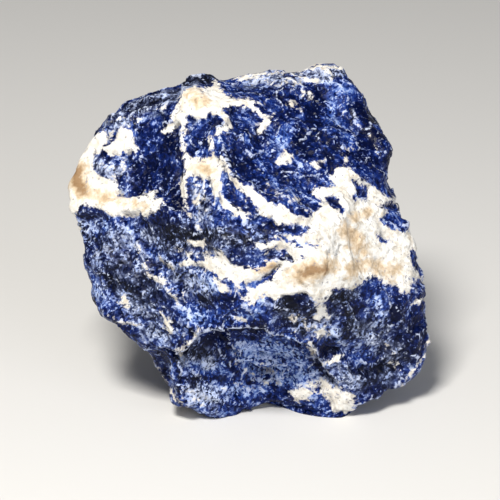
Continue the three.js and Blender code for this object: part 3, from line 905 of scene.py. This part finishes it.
# %% Iron in the calcite, and where it is strongest
RUSTY = [
    [(-27.4, 12.6, 0.5), (-27.2, 10.6, 0.8), (-26.8, 8.8, 0.6)],
    [(9, -5.4, 0.5), (11.2, -4.4, 0.8), (12.8, -4.6, 0.5)],
]
RUSTY_SHARE = 0.8
STAIN = [
    [(-26.9, 13.4, 1), (-27.4, 11, 1.6), (-26.8, 8.8, 1.4)],
    [(-26, 8.8, 0.9), (-23, 7.8, 0.7), (-19, 6.8, 0.7), (-16.6, 6.6, 0.8)],
    [(-8.4, 24, 1.4), (-7, 23.4, 1.2)],
    [(-7, 13.4, 1), (-6.2, 12.4, 1)],
    [(7.8, -4.8, 1.3), (10.8, -4.2, 1.9), (13.6, -3.6, 1.3)],
    [(16, 2.4, 1.2), (17.4, 0.2, 1.5), (18.6, -1.8, 1.3)],
    [(16.8, -4.4, 1.2), (19.6, -3.4, 1.5), (23.6, -4.8, 1.4)],
    [(19.8, 4.8, 0.9), (17.2, 4.2, 0.9)],
    [(1.6, -4, 0.8), (4.2, -3.6, 0.8)],
]

# %% From strokes to tones over the whole skin
sight = sighted(points)
ragged = shaken(points, sight)
FULL_TONE = 0.5  # noise this far above its threshold is as strong as the middle of a stroke


def toned(strokes, size, seed, bias):
    """A tone over the whole skin: drawn where the eye sees it, noise elsewhere."""
    elsewhere = ramp(roughness(points, size, seed, 3) + bias, 0.0, FULL_TONE)
    return seen * soft_strokes(ragged, strokes) + (1 - seen) * elsewhere


dark = toned(DARK, size=6.0, seed=61, bias=-0.05)
veil_and_light = toned(VEIL_AND_LIGHT, size=5.0, seed=62, bias=-0.1)
veil_and_light += BRIGHT_SHARE * seen * soft_strokes(ragged, BRIGHT)
grey = toned(GREY, size=10.0, seed=63, bias=-0.25)
grey = np.maximum(grey, GREY_WASH_SHARE * seen * soft_strokes(ragged, GREY_WASH))
stain = toned(STAIN, size=7.0, seed=64, bias=-0.25)
stain += RUSTY_SHARE * seen * soft_strokes(ragged, RUSTY)
calcite = seen * drawn_calcite(ragged) + (1 - seen) * sheet_calcite(points)
print("share that is calcite:", round(float((calcite > 0).mean()), 2))

# %% Find the edges that wear and catch the light, and the hollows that get painted shade
EDGE_ROUNDS, EDGE_OUT, EDGE_UP = 3, (0.05, 0.16), (1.0, 4.0)  # mm out, and mm above the ground
HOLLOW_ROUNDS, HOLLOW_IN = 8, (0.05, 0.35)


def bulge(at, rounds):
    """How far each point stands out from the average of those round it, in mm."""
    return ((at - blurred(at, rounds)) * outward(at)).sum(axis=1)


worn = ramp(bulge(points, EDGE_ROUNDS), *EDGE_OUT) * ramp(points[:, 2], *EDGE_UP)
hollow = ramp(-bulge(points, HOLLOW_ROUNDS), *HOLLOW_IN)

# %% Store all of it on the skin
stored = {"calcite": calcite, "dark": dark, "veil_and_light": veil_and_light, "grey": grey, "stain": stain}
stored.update(streaks, worn=worn, hollow=hollow)
for name, values in stored.items():
    skin.attributes.new(name, "FLOAT", "POINT").data.foreach_set("value", values)
for face in skin.polygons:
    face.use_smooth = True
outward(points)
print("worn share:", round(float(worn.mean()), 2))

# %% [markdown]
# ## What each mineral does with light
#
# Broken sodalite is glassy to greasy. Each grain has its own flat break, so it throws back light
# its own way, and its blue is deep where the grain is clear and milky where it is cracked. Broken
# calcite is ivory white, softer and duller. The material draws both and lets the calcite field,
# made ragged by noise, choose between them.

# %% Colours and a node helper


def colour(code):
    """An sRGB hex colour as the linear red, green, blue and alpha that Blender wants."""
    parts = [int(code[i : i + 2], 16) / 255 for i in (1, 3, 5)]
    return [*(p / 12.92 if p <= 0.04045 else ((p + 0.055) / 1.055) ** 2.4 for p in parts), 1.0]


broken_rock = bpy.data.materials.new("broken_sodalite_with_calcite")
broken_rock.use_nodes = True
tree = broken_rock.node_tree
tree.nodes.clear()


def add(kind, inputs, output=0, **settings):
    """Adds a node with its settings, and inputs as values or links; gives back one output."""
    node = tree.nodes.new("ShaderNode" + kind)
    for name, value in settings.items():
        setattr(node, name, value)
    for slot, value in inputs.items():
        if isinstance(value, bpy.types.NodeSocket):
            tree.links.new(value, node.inputs[slot])
        else:
            node.inputs[slot].default_value = value
    return node.outputs[output]


# %% Places in millimetres, and the values that were stored on the skin
mm = add("VectorMath", {0: add("TexCoord", {}, "Object"), "Scale": 1 / MM}, operation="SCALE")
sway = add("TexNoise", {"Vector": mm, "Scale": 0.7, "Detail": 2.0}, "Color")
SWAY_MM = 1.1  # grains have crooked borders, so the places that draw them are pushed about
swayed = add("VectorMath", {0: sway, 1: (SWAY_MM,) * 3, 2: mm}, operation="MULTIPLY_ADD")
on_skin = {name: add("Attribute", {}, "Fac", attribute_name=name) for name in stored}


def pattern(start, *parts):
    """A pattern made of others: start, plus each part times its amount."""
    for part, amount in parts:
        start = add("Math", {0: part, 1: amount, 2: start}, operation="MULTIPLY_ADD")
    return start


def layer(under, over, where, low, high, most=1.0):
    """A thin colour over another: none where the pattern is low, and the most where it is high."""
    cover = add("MapRange", {0: where, 1: low, 2: high, 4: most}, interpolation_type="SMOOTHSTEP")
    return add("Mix", {0: cover, 6: under, 7: over}, 2, data_type="RGBA")


# %% Grains of both minerals
# Every grain draws three random numbers, which come as the red, green and blue of its colour.
BIG_GRAIN_MM, GRAIN_MM, SMALL_GRAIN_MM, FLECK_MM = 2.2, 0.75, 0.36, 0.62
big_grains = add("TexVoronoi", {"Vector": swayed, "Scale": 1 / BIG_GRAIN_MM}, "Color")
big_tone = add("SeparateColor", {0: big_grains}, 0)
grains = add("TexVoronoi", {"Vector": swayed, "Scale": 1 / GRAIN_MM}, "Color")
grain_tone = add("SeparateColor", {0: grains}, 0)
grain_shine = add("SeparateColor", {0: grains}, 1)
grain_edge = add("SeparateColor", {0: grains}, 2)
small_grains = add("TexVoronoi", {"Vector": swayed, "Scale": 1 / SMALL_GRAIN_MM}, "Color")
small_tone = add("SeparateColor", {0: small_grains}, 0)
small_draw = add("SeparateColor", {0: small_grains}, 1)
small_crack = add("SeparateColor", {0: small_grains}, 2)
flecks = add("TexVoronoi", {"Vector": swayed, "Scale": 1 / FLECK_MM}, "Distance")
fleck_draw = add("SeparateColor", {0: flecks.node.outputs["Color"]}, 0)

# %% Noise at three sizes, in lumps to a millimetre
broad = add("TexNoise", {"Vector": swayed, "Scale": 0.42, "Detail": 2.0, "Roughness": 0.55})
middling = add("TexNoise", {"Vector": swayed, "Scale": 1.1, "Detail": 2.0, "Roughness": 0.6})
fine = add("TexNoise", {"Vector": mm, "Scale": 1.9, "Detail": 2.0, "Roughness": 0.6})

# %% Where one mineral ends and the other begins
calcite_depth = pattern(
    -1.02, (on_skin["calcite"], 1.0), (middling, 1.2), (grain_edge, 0.30), (small_draw, 0.28),
    (on_skin["streak"], 0.14), (fine, 0.2),
)
BORDER, HAZE = (-0.16, 0.26), (-0.9, 0.0)  # from none to full: the white, and a haze before it
is_calcite, haze = [
    add("MapRange", {0: calcite_depth, 1: none, 2: full}, interpolation_type="SMOOTHSTEP")
    for none, full in (BORDER, HAZE)
]

# %% The tone of each grain, from clear to cracked
TONE_START = -0.625
# Cracked rock is a jumble of clear and milky grains, so its small grains differ more.
cracked = pattern(0.0, (on_skin["veil_and_light"], 1.0), (on_skin["grey"], 1.0))
jumble = add("Math", {0: cracked, 1: small_crack}, operation="MULTIPLY")
tone = pattern(
    TONE_START, (broad, 0.46), (middling, 0.52), (fine, 0.32), (big_tone, 0.18), (grain_tone, 0.26),
    (small_tone, 0.26), (on_skin["streak"], 0.07), (on_skin["band"], 0.05),
    (on_skin["dark"], -0.27), (on_skin["veil_and_light"], 0.18), (haze, 0.10), (jumble, 0.40),
    (cracked, -0.20),
)

# %% The blue and the grey: from nearly black where clear to pale where cracked
# Each colour is for one tone, and the tones between run smoothly from one to the next.
MINERAL_COLOURS = {
    "clear blue": [
        (0.12, "#000628"), (0.34, "#081950"), (0.50, "#182f72"), (0.64, "#304b92"),
        (0.80, "#607ab4"), (1.0, "#9cb2de"),
    ],
    "grey rock": [
        (0.12, "#060811"), (0.36, "#21263a"), (0.54, "#4c5367"), (0.74, "#848a9c"),
        (1.0, "#b5bac6"),
    ],
}
toned_rock = {}
for mineral, (first, *between, last) in MINERAL_COLOURS.items():
    toned_rock[mineral] = add("ValToRGB", {0: tone})
    stops = toned_rock[mineral].node.color_ramp.elements
    stops[0].position, stops[0].color = first[0], colour(first[1])
    stops[1].position, stops[1].color = last[0], colour(last[1])
    for at, code in between:
        stops.new(at).color = colour(code)
is_grey = pattern(0.0, (on_skin["grey"], 0.5), (broad, 0.6), (grain_tone, 0.15))
blue = layer(toned_rock["clear blue"], toned_rock["grey rock"], is_grey, 0.42, 0.76, 0.85)

# %% Milk, dashes and flecks in the blue, the flecks partly painted glints
MILK, DASH, FLECK_AND_GLINT = colour("#8fa0cc"), colour("#b9c6e6"), colour("#b4c1e6")
milk = pattern(0.0, (fine, 0.9), (small_tone, 0.32), (tone, 0.25), (on_skin["streak"], 0.05))
blue = layer(blue, MILK, milk, 0.86, 0.98, 0.75)
dashes = pattern(
    0.0, (on_skin["streak"], 0.5), (small_draw, 1.0), (tone, 2.0), (haze, 0.3), (is_grey, -0.3),
)
blue = layer(blue, DASH, dashes, 2.6, 3.05, 0.85)
# Pale flecks: specks of pale mineral, and painted glints where grains would catch the light.
salt_and_glints = pattern(0.0, (fleck_draw, 3.0), (flecks, -2.0), (tone, 0.9), (is_grey, -0.2))
blue = layer(blue, FLECK_AND_GLINT, salt_and_glints, 3.15, 3.35, 0.85)

# %% Pale edges: wear, and painted highlight along them
# Pale on the edges that stand out: wear, and painted highlight where those edges catch the light.
DUST_AND_HIGHLIGHT = colour("#b9c2da")
rubbed_and_highlit = pattern(0.0, (on_skin["worn"], 0.6), (small_tone, 0.4), (middling, 1.2))
blue = layer(blue, DUST_AND_HIGHLIGHT, rubbed_and_highlit, 1.12, 1.47, 0.85)

# %% The white: ivory, shade, stains and specks
WHITE, CREAM, SHADE = colour("#e9e7e1"), colour("#cac1b2"), colour("#86838d")
TAN, RUST = colour("#c6ad8a"), colour("#7f5c36")
sugar_tone = pattern(0.0, (broad, 0.5), (middling, 0.35), (small_tone, 0.10), (grain_tone, 0.10))
white = layer(WHITE, CREAM, sugar_tone, 0.40, 0.72)
iron = pattern(-1.55, (on_skin["stain"], 1.0), (broad, 1.1), (middling, 1.3), (fine, 0.7))
white = layer(white, TAN, iron, 0.20, 1.0, 0.8)
white = layer(white, RUST, iron, 0.80, 1.70, 0.8)
# Grey specks, with more of them in hollows, where they add painted shade.
specks = pattern(
    0.0, (fine, 1.0), (small_draw, 0.10), (calcite_depth, -0.03), (on_skin["streak"], -0.03),
    (on_skin["hollow"], 0.10),
)
white = layer(white, SHADE, specks, 0.63, 0.75, 0.8)

# %% Both minerals in one surface
# Hollows are darkened with a near-black blue: painted shade.
HOLLOW_SHADE, HOLLOW_SHADE_SHARE = colour("#0b0e1d"), 0.5
both = add("Mix", {0: is_calcite, 6: blue, 7: white}, 2, data_type="RGBA")
both = layer(both, HOLLOW_SHADE, on_skin["hollow"], 0.1, 1.0, HOLLOW_SHADE_SHARE)
BLUE_SHEEN, CALCITE_SHEEN = (0.15, 0.50), 0.6  # roughness: each blue grain draws its own
sheen = add("MapRange", {0: grain_shine, 3: BLUE_SHEEN[0], 4: BLUE_SHEEN[1]})
sheen = add("Mix", {0: is_calcite, 2: sheen, 3: CALCITE_SHEEN})

# %% Each grain leans its own way
GRAIN_LEAN, CALCITE_LEAN, SUGAR_MM = 0.40, 0.28, 0.13
grain_lean = add("Mix", {0: is_calcite, 2: GRAIN_LEAN, 3: CALCITE_LEAN})
lean = add("VectorMath", {0: grains, 1: small_grains}, operation="ADD")
lean = add("VectorMath", {0: lean, 1: (1.0,) * 3}, operation="SUBTRACT")
lean = add("VectorMath", {0: lean, "Scale": grain_lean}, operation="SCALE")
straight = add("NewGeometry", {}, "Normal")
leaning = add("VectorMath", {0: straight, 1: lean}, operation="ADD")
leaning = add("VectorMath", {0: leaning}, operation="NORMALIZE")
sugar_height = add("TexNoise", {"Vector": mm, "Scale": 1.6, "Detail": 3.0, "Roughness": 0.65})
sugary = add("Bump", {"Height": sugar_height, "Distance": SUGAR_MM * MM, "Normal": leaning})
ROCK_IOR, ROCK_SPECULAR = 1.48, 0.12  # a rough break sends back less of its gloss than a polish
rock = add("BsdfPrincipled", {
    "Base Color": both, "Roughness": sheen, "Normal": sugary, "IOR": ROCK_IOR,
    "Specular IOR Level": ROCK_SPECULAR,
})
tree.links.new(rock, tree.nodes.new("ShaderNodeOutputMaterial").inputs["Surface"])
skin.materials.clear()
skin.materials.append(broken_rock)
print("nodes in the rock's material:", len(tree.nodes))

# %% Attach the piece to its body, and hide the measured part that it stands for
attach(stone, "root")
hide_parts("stone")

# %% [markdown]
# ## A table, some light and the eye
#
# The stone stands on a plain pale table that runs back out of sight. A large soft light from the
# upper left and front makes the relief read, a weaker one fills from the right, and a bright
# plain surround keeps the shadows open.

# %% Table
# Matt laminate, in an off-white that lets the eye see a soft shadow and no reflection.
TABLE_HALF = 1.6
LAMINATE, LAMINATE_ROUGHNESS = colour("#d3d2d0"), 0.7
table = bpy.data.meshes.new("table")
corners = [(-1, -1, 0), (1, -1, 0), (1, 1, 0), (-1, 1, 0)]
table.from_pydata([(x * TABLE_HALF, y * TABLE_HALF, z) for x, y, z in corners], [], [(0, 1, 2, 3)])
table_top = bpy.data.objects.new("table", table)
bpy.context.collection.objects.link(table_top)
laminate = bpy.data.materials.new("matt_laminate")
laminate.use_nodes = True
sheet = laminate.node_tree.nodes["Principled BSDF"].inputs
sheet["Base Color"].default_value, sheet["Roughness"].default_value = LAMINATE, LAMINATE_ROUGHNESS
table.materials.append(laminate)

# %% Light


def soft_light(name, toward, distance, size, power, tint):
    """A square soft light that stands off in one direction and shines at the stone."""
    lamp = bpy.data.lights.new(name, "AREA")
    lamp.size, lamp.energy, lamp.color = size, power, colour(tint)[:3]
    stand = bpy.data.objects.new(name, lamp)
    aim = Vector(toward).normalized()
    stand.location = Vector(MIDDLE * MM) + aim * distance
    stand.rotation_euler = aim.to_track_quat("Z", "Y").to_euler()
    bpy.context.collection.objects.link(stand)


soft_light("window", toward=(-0.25, -0.6, 1.0), distance=0.5, size=0.13, power=3.7, tint="#fffcf6")
soft_light("fill", toward=(0.8, -1.0, 0.3), distance=0.6, size=0.4, power=1.6, tint="#eef3ff")
SURROUND, SURROUND_STRENGTH = colour("#f2f4f8"), 0.18
surround = bpy.data.worlds.new("surround")
surround.use_nodes = True
glow = surround.node_tree.nodes["Background"].inputs
glow["Color"].default_value, glow["Strength"].default_value = SURROUND, SURROUND_STRENGTH
bpy.context.scene.world = surround
bpy.context.scene.view_settings.view_transform = "Standard"

# %% Camera
LENS_MM = 205.0
AIM = MIDDLE + np.array([0.4, 0.0, -1.0])  # a hair off the middle, so the stone sits well in view
eye = bpy.data.cameras.new("eye")
eye.lens = LENS_MM
eye_stand = bpy.data.objects.new("eye", eye)
bpy.context.collection.objects.link(eye_stand)
eye_stand.location = EYE * MM
eye_stand.rotation_euler = Vector(EYE - AIM).to_track_quat("Z", "Y").to_euler()
bpy.context.scene.camera = eye_stand
